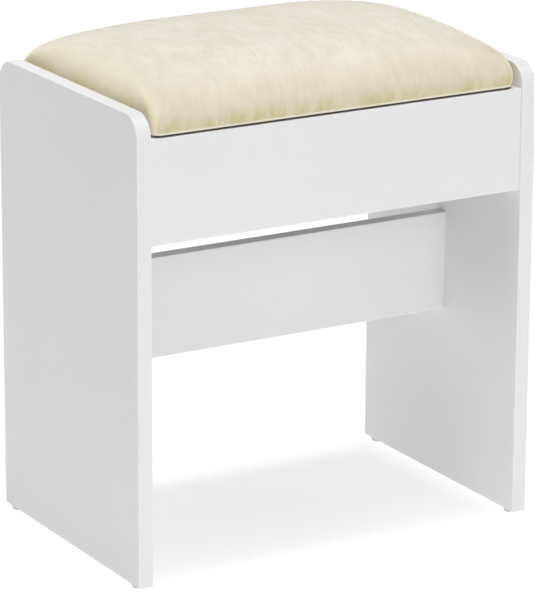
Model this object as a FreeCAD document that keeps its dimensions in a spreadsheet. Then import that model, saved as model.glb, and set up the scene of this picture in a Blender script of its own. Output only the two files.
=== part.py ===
import FreeCAD, Part
import math
import os
import Sketcher
from FreeCAD import Placement, Rotation, Vector

# Flat-pack vanity stool. The origin is on the floor under the middle of the seat, +Z is up,
# -Y is the front and +X is the sitter's left. Every length is in millimetres.

# Boards
SIZES = {
    "stool_width": 432.0,
    "stool_depth": 274.0,
    "panel_height": 450.0,
    "board_thickness": 15.0,
    "corner_radius": 22.0,
    "arris_radius": 1.2,
    "apron_height": 100.0,
    "apron_drop": 23.0,
    "apron_setback": 3.0,
    "stretcher_height": 100.0,
    "stretcher_lift": 175.0,
}

# Knock-down fittings in the boards
SIZES.update({
    "blind_skin": 4.0,
    "hole_play": 0.1,
    "end_play": 0.5,
    "dowel_diameter": 8.0,
    "dowel_length": 30.0,
    "dowel_spacing": 64.0,
    "cam_diameter": 15.0,
    "cam_skin": 3.0,
    "cam_distance": 24.0,
    "cam_recess": 0.2,
    "driver_slot_length": 7.0,
    "driver_slot_width": 1.6,
    "driver_slot_depth": 2.5,
    "bolt_diameter": 5.0,
    "bolt_collar_diameter": 7.0,
    "bolt_collar_length": 1.2,
    "bolt_neck_diameter": 3.6,
    "bolt_neck_length": 4.0,
    "bolt_head_diameter": 6.4,
    "bolt_head_length": 3.0,
})

# Feet
SIZES.update({
    "glide_height": 3.0,
    "glide_diameter": 14.0,
    "glide_taper": 0.8,
    "glide_inset": 14.5,
    "nail_diameter": 1.8,
    "nail_length": 14.0,
    "nail_head_diameter": 5.0,
    "nail_head_height": 1.0,
    "nail_head_recess": 0.4,
})

# Seat pad
SIZES.update({
    "pad_height": 61.0,
    "pad_side_gap": 2.0,
    "pad_front_gap": 1.5,
    "pad_edge_height": 8.5,
    "pad_draw_in": 2.5,
    "pad_corner_radius": 17.0,
    "pad_ridge_width": 19.0,
    "pad_ridge_length": 200.0,
    "cover_thickness": 1.2,
    "soft_play": 0.3,
    "seat_board_thickness": 12.0,
    "dust_cover_thickness": 0.4,
    "dust_cover_gap": 2.5,
    "dust_cover_inset": 19.0,
    "hem_overlap": 13.0,
})

# Staples, brackets and screws under the seat
SIZES.update({
    "staple_crown": 10.0,
    "staple_bite": 5.0,
    "staple_wire_width": 1.2,
    "staple_wire_thickness": 0.6,
    "staple_margin": 5.0,
    "slot_play": 0.05,
    "bracket_leg": 28.0,
    "bracket_width": 18.0,
    "bracket_thickness": 2.0,
    "bracket_bend_radius": 1.5,
    "bracket_hole_reach": 19.0,
    "screw_diameter": 3.5,
    "screw_skin": 3.0,
    "screw_head_diameter": 7.0,
    "screw_head_height": 2.0,
    "screw_slot_length": 4.2,
    "screw_slot_width": 0.9,
    "screw_slot_depth": 1.1,
})

# Shape of the crown: a superellipse of this power, outlined at these angles round its quarter,
# whose corner radius grows by this share of each outline's inset up to a share of its half width
CROWN_POWER = 2.19
CROWN_ANGLES = (0, 8, 18, 30, 44, 60, 75, 90)
CORNER_GROWTH = 1.4
CORNER_LIMIT = 0.97

LONG_SIDE_STAPLES = 7
SHORT_SIDE_STAPLES = 4
# Brackets stand halfway between two staples, this many staple pitches from the middle
BRACKET_PITCHES = 2.5

TOLERANCE = 0.001


class Size:
    """A length with the sheet expression that gives it and its present value."""

    def __init__(self, text, value):
        self.text = text
        self.value = float(value)

    @staticmethod
    def of(number):
        if isinstance(number, Size):
            return number
        return Size("(" + repr(float(number)) + ")", number)

    def __add__(self, other):
        other = Size.of(other)
        return Size("(" + self.text + " + " + other.text + ")", self.value + other.value)

    def __sub__(self, other):
        other = Size.of(other)
        return Size("(" + self.text + " - " + other.text + ")", self.value - other.value)

    def __mul__(self, factor):
        factor = Size.of(factor)
        return Size("(" + self.text + " * " + factor.text + ")", self.value * factor.value)

    def __truediv__(self, divisor):
        return Size("(" + self.text + " / " + repr(float(divisor)) + ")", self.value / divisor)

    def __neg__(self):
        return self * -1

    def __rsub__(self, other):
        return Size.of(other) - self

    __rmul__ = __mul__
    __radd__ = __add__


doc = FreeCAD.newDocument("vanity_stool")
sheet = doc.addObject("Spreadsheet::Sheet", "sizes")
for row, (alias, number) in enumerate(SIZES.items(), 1):
    sheet.set("A" + str(row), alias)
    sheet.set("B" + str(row), str(number))
    sheet.setAlias("B" + str(row), alias)
doc.recompute()

size = {alias: Size("sizes." + alias, sheet.get(alias)) for alias in SIZES}
nodes = {}

# Places that several pieces share
thickness = size["board_thickness"]
half_width = size["stool_width"] / 2
half_depth = size["stool_depth"] / 2
inner_width = size["stool_width"] - thickness * 2
panel_foot = size["glide_height"]
apron_top = panel_foot + size["panel_height"] - size["apron_drop"]
apron_foot = apron_top - size["apron_height"]
apron_face = half_depth - size["apron_setback"]
apron_back = apron_face - thickness
stretcher_foot = panel_foot + size["stretcher_lift"]
blind_depth = thickness - size["blind_skin"]
cam_height = thickness - size["cam_skin"]
bolt_reach = size["cam_distance"] - size["end_play"]
pad_half_x = inner_width / 2 - size["pad_side_gap"]
pad_half_y = half_depth - size["pad_front_gap"]
dust_half_x = pad_half_x - size["dust_cover_inset"]
dust_half_y = apron_back - size["dust_cover_gap"]
dust_foot = apron_top - size["dust_cover_thickness"]
staple_half_x = dust_half_x - size["staple_margin"]
staple_half_y = dust_half_y - size["staple_margin"]
long_pitch = staple_half_x * 2 / LONG_SIDE_STAPLES
short_pitch = staple_half_y * 2 / SHORT_SIDE_STAPLES
bracket_x = long_pitch * BRACKET_PITCHES
seat_board_foot = apron_top + size["cover_thickness"]
screw_bore = size["screw_diameter"] + size["slot_play"] * 2


class Rail:
    """Where a board that joins the two side panels stands.

    outer is the y of its outer face, facing is +1 where its cam face looks to the rear and
    -1 where it looks to the front, foot is the z of its lower edge.
    """

    def __init__(self, label, outer, facing, foot, height):
        self.label = label
        self.outer = outer
        self.facing = facing
        self.foot = foot
        self.height = height
        self.middle = outer + thickness * (0.5 * facing)
        self.cam_face = outer + thickness * facing
        self.centre = foot + height / 2


RAILS = (
    Rail("front_apron", -apron_face, 1, apron_foot, size["apron_height"]),
    Rail("rear_apron", apron_face, -1, apron_foot, size["apron_height"]),
    Rail("stretcher", -thickness / 2, 1, stretcher_foot, size["stretcher_height"]),
)

SIDES = {"left": -1, "right": 1}
ENDS = {"front": -1, "rear": 1}

TO_FRONT = Rotation(Vector(1, 0, 0), 90)
TO_REAR = Rotation(Vector(1, 0, 0), -90)
TO_RIGHT = Rotation(Vector(0, 1, 0), 90)
TO_LEFT = Rotation(Vector(0, 1, 0), -90)
HALF_TURN = Rotation(Vector(0, 0, 1), 180)
UPRIGHT = Rotation()


def bind(thing, lengths):
    """Ties properties of a document object to the sheet."""
    for name, length in lengths.items():
        thing.setExpression(name, Size.of(length).text)


def place(thing, x, y, z, turn=UPRIGHT):
    """Puts an object at a bound place, turned as asked."""
    spot = [Size.of(number) for number in (x, y, z)]
    thing.Placement = Placement(Vector(*[length.value for length in spot]), turn)
    bind(thing, {"Placement.Base." + axis: length for axis, length in zip("xyz", spot)})


def add(kind, name, lengths, spot, turn=UPRIGHT):
    """Makes one primitive solid at its place."""
    solid = doc.addObject(kind, name)
    bind(solid, lengths)
    place(solid, *spot, turn)
    return solid


def cylinder(name, diameter, height, spot, turn=UPRIGHT):
    return add("Part::Cylinder", name, {"Radius": diameter / 2, "Height": height}, spot, turn)


def box(name, lengths, spot, turn=UPRIGHT):
    """A box whose corner with the least coordinates is at its place."""
    return add("Part::Box", name, dict(zip(("Length", "Width", "Height"), lengths)), spot, turn)


def centred_box(name, lengths, centre_x, centre_y, foot):
    spot = (centre_x - lengths[0] / 2, centre_y - lengths[1] / 2, foot)
    return box(name, lengths, spot)


def fuse(name, shapes):
    joined = doc.addObject("Part::MultiFuse", name)
    joined.Shapes = shapes
    return joined


def cut(name, base, tool):
    rest = doc.addObject("Part::Cut", name)
    rest.Base = base
    rest.Tool = tool
    return rest


def group(name, members):
    """One object that holds separate solids."""
    bundle = doc.addObject("Part::Compound", name)
    bundle.Links = members
    return bundle


def keep(label, thing):
    """Names an object as a finished piece of the stool."""
    thing.Label = label
    nodes[label] = thing


def new_body(label):
    body = doc.addObject("PartDesign::Body", label + "_body")
    keep(label, body)
    return body


def sketch_on(body, role, name, lift=None):
    """A sketch on one of the body's own origin planes, lifted along the plane's normal."""
    sketch = body.newObject("Sketcher::SketchObject", name)
    plane = [feature for feature in body.Origin.OriginFeatures if feature.Role == role][0]
    sketch.AttachmentSupport = [(plane, "")]
    sketch.MapMode = "FlatFace"
    if lift is not None:
        bind(sketch, {"AttachmentOffset.Base.z": lift})
    return sketch


def dimension(sketch, kind, *target):
    """Adds one dimension, bound to the length that comes last."""
    length = Size.of(target[-1])
    number = sketch.addConstraint(Sketcher.Constraint(kind, *target[:-1], length.value))
    sketch.setExpression("Constraints[" + str(number) + "]", length.text)


def draw_outline(sketch, corners):
    """Draws a closed outline of straight edges through bound corners."""
    points = [Vector(across.value, up.value, 0) for across, up in corners]
    count = len(points)
    for index in range(count):
        line = Part.LineSegment(points[index], points[(index + 1) % count])
        sketch.addGeometry(line)
    for index, (across, up) in enumerate(corners):
        before = (index - 1) % count
        sketch.addConstraint(Sketcher.Constraint("Coincident", before, 2, index, 1))
        dimension(sketch, "DistanceX", -1, 1, index, 1, across)
        dimension(sketch, "DistanceY", -1, 1, index, 1, up)


def draw_rectangle(sketch, left, foot, right, head):
    corners = [(left, foot), (right, foot), (right, head), (left, head)]
    draw_outline(sketch, [(Size.of(across), Size.of(up)) for across, up in corners])


def draw_circle(sketch, across, up, diameter):
    across = Size.of(across)
    up = Size.of(up)
    centre = Vector(across.value, up.value, 0)
    index = sketch.addGeometry(Part.Circle(centre, Vector(0, 0, 1), diameter.value / 2))
    dimension(sketch, "DistanceX", -1, 1, index, 3, across)
    dimension(sketch, "DistanceY", -1, 1, index, 3, up)
    dimension(sketch, "Diameter", index, diameter)


def pad_sketch(body, sketch, length, midplane=False):
    pad = body.newObject("PartDesign::Pad", sketch.Name + "_pad")
    pad.Profile = sketch
    pad.Midplane = midplane
    bind(pad, {"Length": length})
    body.Tip = pad
    doc.recompute()
    return pad


def pocket_sketch(body, sketch, depth, along_normal):
    """Cuts a sketch into the body, and stops if it removed nothing."""
    before = body.Shape.Volume
    pocket = body.newObject("PartDesign::Pocket", sketch.Name + "_pocket")
    pocket.Profile = sketch
    pocket.Reversed = along_normal
    bind(pocket, {"Length": depth})
    body.Tip = pocket
    doc.recompute()
    if body.Shape.Volume > before - TOLERANCE:
        raise RuntimeError(sketch.Name + " removed nothing")


def fillet_edges(body, name, radius, choose):
    """Rounds the edges of the body's last feature that pass a test on their two ends."""
    tip = body.Tip
    chosen = []
    for number, edge in enumerate(tip.Shape.Edges, 1):
        ends = [vertex.Point for vertex in edge.Vertexes]
        if len(ends) == 2 and choose(*ends):
            chosen.append("Edge" + str(number))
    fillet = body.newObject("PartDesign::Fillet", name)
    fillet.Base = (tip, chosen)
    bind(fillet, {"Radius": radius})
    body.Tip = fillet
    doc.recompute()


def close(first, second):
    return abs(first - second) < TOLERANCE


def side_panel(side_name, side):
    """An upright board on edge, with rounded upper corners and blind holes on its inner face."""
    body = new_body(side_name + "_side_panel")
    outline = sketch_on(body, "YZ_Plane", side_name + "_panel_outline")
    draw_rectangle(outline, -half_depth, 0, half_depth, size["panel_height"])
    pad_sketch(body, outline, thickness)

    def is_upper_corner(start, end):
        at_top = close(start.z, size["panel_height"].value) and close(end.z, start.z)
        return at_top and close(start.y, end.y)

    def is_face_edge(start, end):
        return close(start.x, end.x)

    fillet_edges(body, side_name + "_panel_corners", size["corner_radius"], is_upper_corner)
    fillet_edges(body, side_name + "_panel_arris", size["arris_radius"], is_face_edge)

    inner_face = thickness if side < 0 else Size.of(0)
    holes = sketch_on(body, "YZ_Plane", side_name + "_panel_holes", inner_face)
    for rail in RAILS:
        height = rail.centre - panel_foot
        draw_circle(holes, rail.middle, height, size["bolt_diameter"] + size["hole_play"] * 2)
        for step in (-0.5, 0.5):
            spot = height + size["dowel_spacing"] * step
            draw_circle(holes, rail.middle, spot, size["dowel_diameter"] + size["hole_play"] * 2)
    pocket_sketch(body, holes, blind_depth, side > 0)

    nail_holes = sketch_on(body, "XY_Plane", side_name + "_panel_nail_holes")
    for end in ENDS.values():
        across = (half_depth - size["glide_inset"]) * end
        draw_circle(nail_holes, thickness / 2, across, size["nail_diameter"] + size["slot_play"] * 2)
    pocket_sketch(body, nail_holes, size["nail_length"], True)

    outer = half_width * side if side < 0 else half_width - thickness
    place(body, outer, 0, panel_foot)


def cross_rail(rail):
    """A board between the side panels, bored at both ends and for the cams near them."""
    body = new_body(rail.label)
    section = sketch_on(body, "YZ_Plane", rail.label + "_section")
    draw_rectangle(section, 0, 0, thickness, rail.height)
    pad_sketch(body, section, inner_width)

    def is_long_edge(start, end):
        return not close(start.x, end.x)

    fillet_edges(body, rail.label + "_arris", size["arris_radius"], is_long_edge)

    bolt_bore = size["bolt_collar_diameter"] + size["hole_play"] * 2
    dowel_bore = size["dowel_diameter"] + size["hole_play"] * 2
    dowel_depth = size["dowel_length"] - blind_depth + size["end_play"] * 2
    for name, lift, inward in (("left", Size.of(0), True), ("right", inner_width, False)):
        bolt_hole = sketch_on(body, "YZ_Plane", rail.label + "_" + name + "_bolt_hole", lift)
        draw_circle(bolt_hole, thickness / 2, rail.height / 2, bolt_bore)
        pocket_sketch(body, bolt_hole, size["cam_distance"], inward)
        dowel_holes = sketch_on(body, "YZ_Plane", rail.label + "_" + name + "_dowel_holes", lift)
        for step in (-0.5, 0.5):
            spot = rail.height / 2 + size["dowel_spacing"] * step
            draw_circle(dowel_holes, thickness / 2, spot, dowel_bore)
        pocket_sketch(body, dowel_holes, dowel_depth, inward)

    cam_holes = sketch_on(body, "XZ_Plane", rail.label + "_cam_holes", -thickness)
    for across in (size["cam_distance"], inner_width - size["cam_distance"]):
        draw_circle(cam_holes, across, rail.height / 2, size["cam_diameter"] + size["hole_play"] * 2)
    pocket_sketch(body, cam_holes, cam_height + size["cam_recess"] + size["hole_play"], True)

    if rail.facing > 0:
        place(body, -inner_width / 2, rail.outer, rail.foot)
    else:
        place(body, inner_width / 2, rail.outer, rail.foot, HALF_TURN)


def cam_locks(rail):
    """Two round cams with a driver cross on the open face and a socket for the bolt's head."""
    cams = []
    inward = TO_FRONT if rail.facing > 0 else TO_REAR
    face = rail.cam_face - size["cam_recess"] * rail.facing
    slot = [size["driver_slot_length"], size["driver_slot_width"], size["driver_slot_depth"]]
    socket_bore = size["bolt_head_diameter"] + size["soft_play"] * 2
    for name, side in SIDES.items():
        stem = rail.label + "_" + name + "_cam"
        x = (inner_width / 2 - size["cam_distance"]) * side
        barrel = cylinder(stem + "_barrel", size["cam_diameter"], cam_height,
                          (x, face, rail.centre), inward)
        floor = face - slot[2] * 0.5 * (1 + rail.facing)
        flat = box(stem + "_flat_slot", [slot[0], slot[2], slot[1]],
                   (x - slot[0] / 2, floor, rail.centre - slot[1] / 2))
        upright = box(stem + "_upright_slot", [slot[1], slot[2], slot[0]],
                      (x - slot[1] / 2, floor, rail.centre - slot[0] / 2))
        socket = cylinder(stem + "_socket", socket_bore, size["cam_diameter"],
                          (x, rail.middle, rail.centre), TO_RIGHT if side > 0 else TO_LEFT)
        cams.append(cut(stem, barrel, fuse(stem + "_cuts", [flat, upright, socket])))
    keep(rail.label + "_cam_locks", group(rail.label + "_cams", cams))


def cam_bolts(rail):
    """Two bolts screwed into the side panels, whose heads the cams draw in."""
    bolts = []
    embedded = blind_depth - size["end_play"]
    neck_start = bolt_reach - size["bolt_head_length"] - size["bolt_neck_length"]
    head_start = bolt_reach - size["bolt_head_length"]
    stretches = (
        ("shank", size["bolt_diameter"], -embedded, neck_start + embedded),
        ("collar", size["bolt_collar_diameter"], Size.of(0), size["bolt_collar_length"]),
        ("neck", size["bolt_neck_diameter"], neck_start, size["bolt_neck_length"]),
        ("head", size["bolt_head_diameter"], head_start, size["bolt_head_length"]),
    )
    for name, side in SIDES.items():
        stem = rail.label + "_" + name + "_bolt"
        inward = TO_LEFT if side > 0 else TO_RIGHT
        lengths = []
        for stretch, diameter, start, length in stretches:
            x = (inner_width / 2 - start) * side
            spot = (x, rail.middle, rail.centre)
            lengths.append(cylinder(stem + "_" + stretch, diameter, length, spot, inward))
        bolts.append(fuse(stem, lengths))
    keep(rail.label + "_cam_bolts", group(rail.label + "_bolts", bolts))


def dowels(rail):
    """Four wooden dowels, two in each end of the board."""
    pins = []
    embedded = blind_depth - size["end_play"]
    for name, side in SIDES.items():
        x = (inner_width / 2 + embedded) * side
        inward = TO_LEFT if side > 0 else TO_RIGHT
        for level, step in (("lower", -0.5), ("upper", 0.5)):
            z = rail.centre + size["dowel_spacing"] * step
            label = rail.label + "_" + name + "_" + level + "_dowel"
            spot = (x, rail.middle, z)
            pins.append(cylinder(label, size["dowel_diameter"], size["dowel_length"], spot, inward))
    keep(rail.label + "_dowels", group(rail.label + "_pins", pins))


def glide(end_name, side_name):
    """A round plastic glide under a panel, counterbored for its nail's head."""
    label = end_name + "_" + side_name + "_glide"
    x = (half_width - thickness / 2) * SIDES[side_name]
    y = (half_depth - size["glide_inset"]) * ENDS[end_name]
    disc = add("Part::Cone", label + "_disc",
               {"Radius1": size["glide_diameter"] / 2 - size["glide_taper"],
                "Radius2": size["glide_diameter"] / 2, "Height": size["glide_height"]}, (x, y, 0))
    bore = cylinder(label + "_bore", size["nail_diameter"] + size["slot_play"] * 2,
                    size["glide_height"], (x, y, 0))
    counterbore = cylinder(label + "_counterbore", size["nail_head_diameter"] + size["hole_play"] * 4,
                           size["nail_head_recess"] + size["nail_head_height"], (x, y, 0))
    keep(label, cut(label + "_piece", disc, fuse(label + "_holes", [bore, counterbore])))


def glide_nail(end_name, side_name):
    """A flat-headed nail that holds one glide."""
    stem = end_name + "_" + side_name + "_nail"
    x = (half_width - thickness / 2) * SIDES[side_name]
    y = (half_depth - size["glide_inset"]) * ENDS[end_name]
    head = cylinder(stem + "_head", size["nail_head_diameter"], size["nail_head_height"],
                    (x, y, size["nail_head_recess"]))
    shank = cylinder(stem + "_shank", size["nail_diameter"], size["nail_length"],
                     (x, y, size["nail_head_recess"] + size["nail_head_height"]))
    return fuse(stem, [head, shank])


def rounded_rectangle(half_x, half_y, radius, z):
    """A level wire of four edges and four corner arcs."""
    edges = []
    quarters = ((1, 1, 0), (-1, 1, 90), (-1, -1, 180), (1, -1, 270))
    for across, along, start in quarters:
        centre = Vector(across * (half_x - radius), along * (half_y - radius), z)
        arc = Part.Circle(centre, Vector(0, 0, 1), radius)
        edges.append(Part.Arc(arc, math.radians(start), math.radians(start + 90)).toShape())
    sides = []
    for index, edge in enumerate(edges):
        after = edges[(index + 1) % len(edges)]
        sides.append(edge)
        sides.append(Part.makeLine(edge.valueAt(edge.LastParameter), after.valueAt(after.FirstParameter)))
    return Part.Wire(sides)


def pad_wires(inset, base):
    """Level outlines of the crowned pad, from its drawn-in lower edge to its ridge.

    inset is how far the form lies inside the pad's outer skin, and base is the height of its
    flat underside above the pad's own.
    """
    half_x = pad_half_x.value - inset
    half_y = pad_half_y.value - inset
    edge_height = size["pad_edge_height"].value
    rise = size["pad_height"].value - inset - edge_height
    reach_x = half_x - size["pad_ridge_length"].value / 2
    reach_y = half_y - size["pad_ridge_width"].value / 2
    draw_in = size["pad_draw_in"].value * (1 - base / edge_height)
    levels = [(base, draw_in, draw_in)]
    for degrees in CROWN_ANGLES:
        angle = math.radians(degrees)
        inward = 1 - max(math.cos(angle), 0.0) ** (2 / CROWN_POWER)
        upward = math.sin(angle) ** (2 / CROWN_POWER)
        levels.append((edge_height + rise * upward, reach_x * inward, reach_y * inward))
    wires = []
    for height, inward_x, inward_y in levels:
        along = half_y - inward_y
        across = half_x - inward_x
        radius = size["pad_corner_radius"].value - inset + CORNER_GROWTH * inward_y
        radius = min(radius, CORNER_LIMIT * min(across, along))
        wires.append(rounded_rectangle(across, along, radius, apron_top.value + height))
    return wires


def pad_skin(wires):
    """The faces over a pad form: its crown and the flat strip on its ridge."""
    return Part.makeLoft(wires, False, False).Faces + [Part.Face(wires[-1])]


def rectangle_wire(half_x, half_y, z):
    corners = [Vector(across * half_x, along * half_y, z)
               for across, along in ((-1, -1), (1, -1), (1, 1), (-1, 1), (-1, -1))]
    return Part.makePolygon(corners)


def block(half_x, half_y, foot, height):
    """A plain box centred on the stool, for cutting."""
    return Part.makeBox(2 * half_x, 2 * half_y, height, Vector(-half_x, -half_y, foot))


def soft_piece(label, shape):
    piece = doc.addObject("Part::Feature", label + "_form")
    piece.Shape = shape
    piece.Placement = Placement()
    keep(label, piece)
    return piece


def seat_board_half(outer):
    """Half a side of the seat board, which the cover and the foam's edge wrap."""
    wrap = size["pad_draw_in"] + size["cover_thickness"] + size["soft_play"] * 2
    return outer - wrap


def seat_board(slots):
    """The plywood under the foam, with rounded corners and pilot holes for screws."""
    body = doc.addObject("PartDesign::Body", "seat_board_body")
    half_x = seat_board_half(pad_half_x)
    half_y = seat_board_half(pad_half_y)
    outline = sketch_on(body, "XY_Plane", "seat_board_outline")
    draw_rectangle(outline, -half_x, -half_y, half_x, half_y)
    pad_sketch(body, outline, size["seat_board_thickness"])

    def is_upright(start, end):
        return not close(start.z, end.z)

    corner = size["pad_corner_radius"] - size["cover_thickness"] - size["soft_play"]
    fillet_edges(body, "seat_board_corners", corner, is_upright)
    pilots = sketch_on(body, "XY_Plane", "seat_board_pilots")
    for side in SIDES.values():
        for end in ENDS.values():
            y = (apron_back - size["bracket_hole_reach"]) * end
            draw_circle(pilots, bracket_x * side, y, screw_bore)
    pilot_depth = size["seat_board_thickness"] - size["screw_skin"] + size["slot_play"]
    pocket_sketch(body, pilots, pilot_depth, True)
    place(body, 0, 0, seat_board_foot)
    keep("seat_board", cut("seat_board_slotted", body, slots))


def seat_foam():
    """The foam over the board, which also wraps the board's edge."""
    play = size["soft_play"].value
    skin = size["cover_thickness"].value
    form = Part.makeLoft(pad_wires(skin + play, skin), True, False)
    pocket = block(seat_board_half(pad_half_x).value + play / 2,
                   seat_board_half(pad_half_y).value + play / 2,
                   seat_board_foot.value - play, size["seat_board_thickness"].value + 2 * play)
    soft_piece("seat_foam", form.cut(pocket))


def seat_cover(slots):
    """The cloth shell over the foam, with a hem turned under the board."""
    skin = size["cover_thickness"].value
    window_x = (dust_half_x - size["hem_overlap"]).value
    window_y = (dust_half_y - size["hem_overlap"]).value
    outer = pad_wires(0, 0)
    inner = pad_wires(skin, skin)
    faces = pad_skin(outer) + pad_skin(inner)
    edges = []
    for wires, level in ((outer, 0), (inner, skin)):
        edges.append(rectangle_wire(window_x, window_y, apron_top.value + level))
        faces += Part.Face(wires[0]).cut(Part.Face(edges[-1])).Faces
    faces += Part.makeLoft(edges, False, True).Faces
    shell = Part.makeSolid(Part.makeShell(faces))
    soft_piece("seat_cover", shell.cut(slots.Shape))


def dust_cover(slots):
    """The thin cloth that closes the underside, pierced by the staples and the seat screws."""
    sheet_of_cloth = centred_box("dust_cover_sheet", [dust_half_x * 2, dust_half_y * 2,
                                                      size["dust_cover_thickness"]], 0, 0, dust_foot)
    holes = []
    for side_name, side in SIDES.items():
        for end_name, end in ENDS.items():
            y = (apron_back - size["bracket_hole_reach"]) * end
            name = "dust_cover_" + end_name + "_" + side_name + "_hole"
            spot = (bracket_x * side, y, dust_foot)
            holes.append(cylinder(name, screw_bore, size["dust_cover_thickness"], spot))
    keep("dust_cover", cut("dust_cover_pierced", sheet_of_cloth,
                           group("dust_cover_holes", holes + [slots])))


def staple_row():
    """Centres of the staples round the hem, each with a flag that is True where it lies along X."""
    spots = []
    for side in (-1, 1):
        for index in range(LONG_SIDE_STAPLES):
            step = index - (LONG_SIDE_STAPLES - 1) / 2
            spots.append((long_pitch * step, staple_half_y * side, True))
        for index in range(SHORT_SIDE_STAPLES):
            step = index - (SHORT_SIDE_STAPLES - 1) / 2
            spots.append((staple_half_x * side, short_pitch * step, False))
    return spots


def staple_parts(name, x, y, along_x, play, crown_too):
    """Boxes of one staple's two legs, grown by a play, and its crown where it is asked for."""
    width = size["staple_wire_width"] + play * 2
    wire = size["staple_wire_thickness"] + play * 2
    reach = size["staple_bite"] + size["cover_thickness"] + size["dust_cover_thickness"] + play
    offset = (size["staple_crown"] - size["staple_wire_thickness"]) / 2
    boxes = []
    for side_name, side in (("first", -1), ("second", 1)):
        if along_x:
            spot = (x + offset * side, y)
            lengths = [wire, width, reach]
        else:
            spot = (x, y + offset * side)
            lengths = [width, wire, reach]
        boxes.append(centred_box(name + "_" + side_name + "_leg", lengths, *spot, dust_foot))
    if crown_too:
        lengths = [size["staple_crown"], width, size["staple_wire_thickness"]]
        if not along_x:
            lengths = [lengths[1], lengths[0], lengths[2]]
        foot = dust_foot - size["staple_wire_thickness"]
        boxes.append(centred_box(name + "_crown", lengths, x, y, foot))
    return boxes


def seat_staples():
    """The staples that hold the hem and the dust cover to the board."""
    staples = []
    for number, (x, y, along_x) in enumerate(staple_row(), 1):
        name = "staple_" + str(number)
        staples.append(fuse(name, staple_parts(name, x, y, along_x, Size.of(0), True)))
    keep("seat_staples", group("staples", staples))


def staple_slots():
    """The slots that the staples' legs make."""
    slots = []
    for number, (x, y, along_x) in enumerate(staple_row(), 1):
        name = "slot_" + str(number)
        slots.extend(staple_parts(name, x, y, along_x, size["slot_play"], False))
    return group("staple_slots", slots)


def bracket(end_name, side_name):
    """A bent steel angle, one leg on the apron and the other under the seat."""
    label = end_name + "_" + side_name + "_bracket"
    body = new_body(label)
    leg = size["bracket_leg"]
    metal = size["bracket_thickness"]
    profile = sketch_on(body, "YZ_Plane", label + "_profile")
    zero = Size.of(0)
    corners = [(zero, zero), (zero, -leg), (metal, -leg), (metal, -metal), (leg, -metal), (leg, zero)]
    draw_outline(profile, corners)
    pad_sketch(body, profile, size["bracket_width"], True)

    def is_outer_bend(start, end):
        on_corner = close(start.y, 0) and close(start.z, 0)
        return on_corner and close(end.y, 0) and close(end.z, 0)

    fillet_edges(body, label + "_bend", size["bracket_bend_radius"], is_outer_bend)
    bore = size["screw_diameter"] + size["hole_play"] * 2
    upper_hole = sketch_on(body, "XY_Plane", label + "_upper_hole")
    draw_circle(upper_hole, 0, size["bracket_hole_reach"], bore)
    pocket_sketch(body, upper_hole, metal * 2, False)
    lower_hole = sketch_on(body, "XZ_Plane", label + "_lower_hole")
    draw_circle(lower_hole, 0, -size["bracket_hole_reach"], bore)
    pocket_sketch(body, lower_hole, metal * 2, False)
    end = ENDS[end_name]
    turn = UPRIGHT if end < 0 else HALF_TURN
    place(body, bracket_x * SIDES[side_name], apron_back * end, dust_foot, turn)


def screw(name, length, spot, turn):
    """A domed cross-head screw that points along +Z before it is turned.

    spot is the middle of the face that the head bears on.
    """
    x, y, z = spot
    head = add("Part::Cone", name + "_head",
               {"Radius1": size["screw_head_diameter"] / 2 - size["screw_head_height"] / 2,
                "Radius2": size["screw_head_diameter"] / 2, "Height": size["screw_head_height"]},
               (0, 0, -size["screw_head_height"]))
    shank = cylinder(name + "_shank", size["screw_diameter"], length, (0, 0, 0))
    slots = []
    for label, across, along in (("flat", "screw_slot_length", "screw_slot_width"),
                                 ("upright", "screw_slot_width", "screw_slot_length")):
        lengths = [size[across], size[along], size["screw_slot_depth"]]
        slots.append(centred_box(name + "_" + label, lengths, 0, 0, -size["screw_head_height"]))
    solid = cut(name, fuse(name + "_blank", [head, shank]), fuse(name + "_cross", slots))
    place(solid, x, y, z, turn)
    return solid


def bracket_screws():
    """Two screws in each bracket: one up into the seat board and one into the apron."""
    metal = size["bracket_thickness"]
    hem_space = size["cover_thickness"] + size["dust_cover_thickness"]
    seat_length = metal + hem_space + size["seat_board_thickness"] - size["screw_skin"]
    apron_length = metal + thickness - size["screw_skin"]
    into_seat = []
    into_apron = []
    for side_name, side in SIDES.items():
        for end_name, end in ENDS.items():
            stem = end_name + "_" + side_name
            y = (apron_back - size["bracket_hole_reach"]) * end
            spot = (bracket_x * side, y, dust_foot - metal)
            into_seat.append(screw(stem + "_seat_screw", seat_length, spot, UPRIGHT))
            spot = (bracket_x * side, (apron_back - metal) * end,
                    dust_foot - size["bracket_hole_reach"])
            outward = TO_FRONT if end < 0 else TO_REAR
            into_apron.append(screw(stem + "_apron_screw", apron_length, spot, outward))
    keep("bracket_seat_screws", group("seat_screw_group", into_seat))
    keep("bracket_apron_screws", group("apron_screw_group", into_apron))


def drill_apron(rail):
    """Adds the pilot holes for the bracket screws to an apron's inner face."""
    body = nodes[rail.label]
    pilots = sketch_on(body, "XZ_Plane", rail.label + "_pilots", -thickness)
    height = rail.height - size["dust_cover_thickness"] - size["bracket_hole_reach"]
    for side in SIDES.values():
        draw_circle(pilots, inner_width / 2 + bracket_x * side, height, screw_bore)
    depth = thickness - size["screw_skin"] + size["slot_play"]
    pocket_sketch(body, pilots, depth, True)


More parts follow.
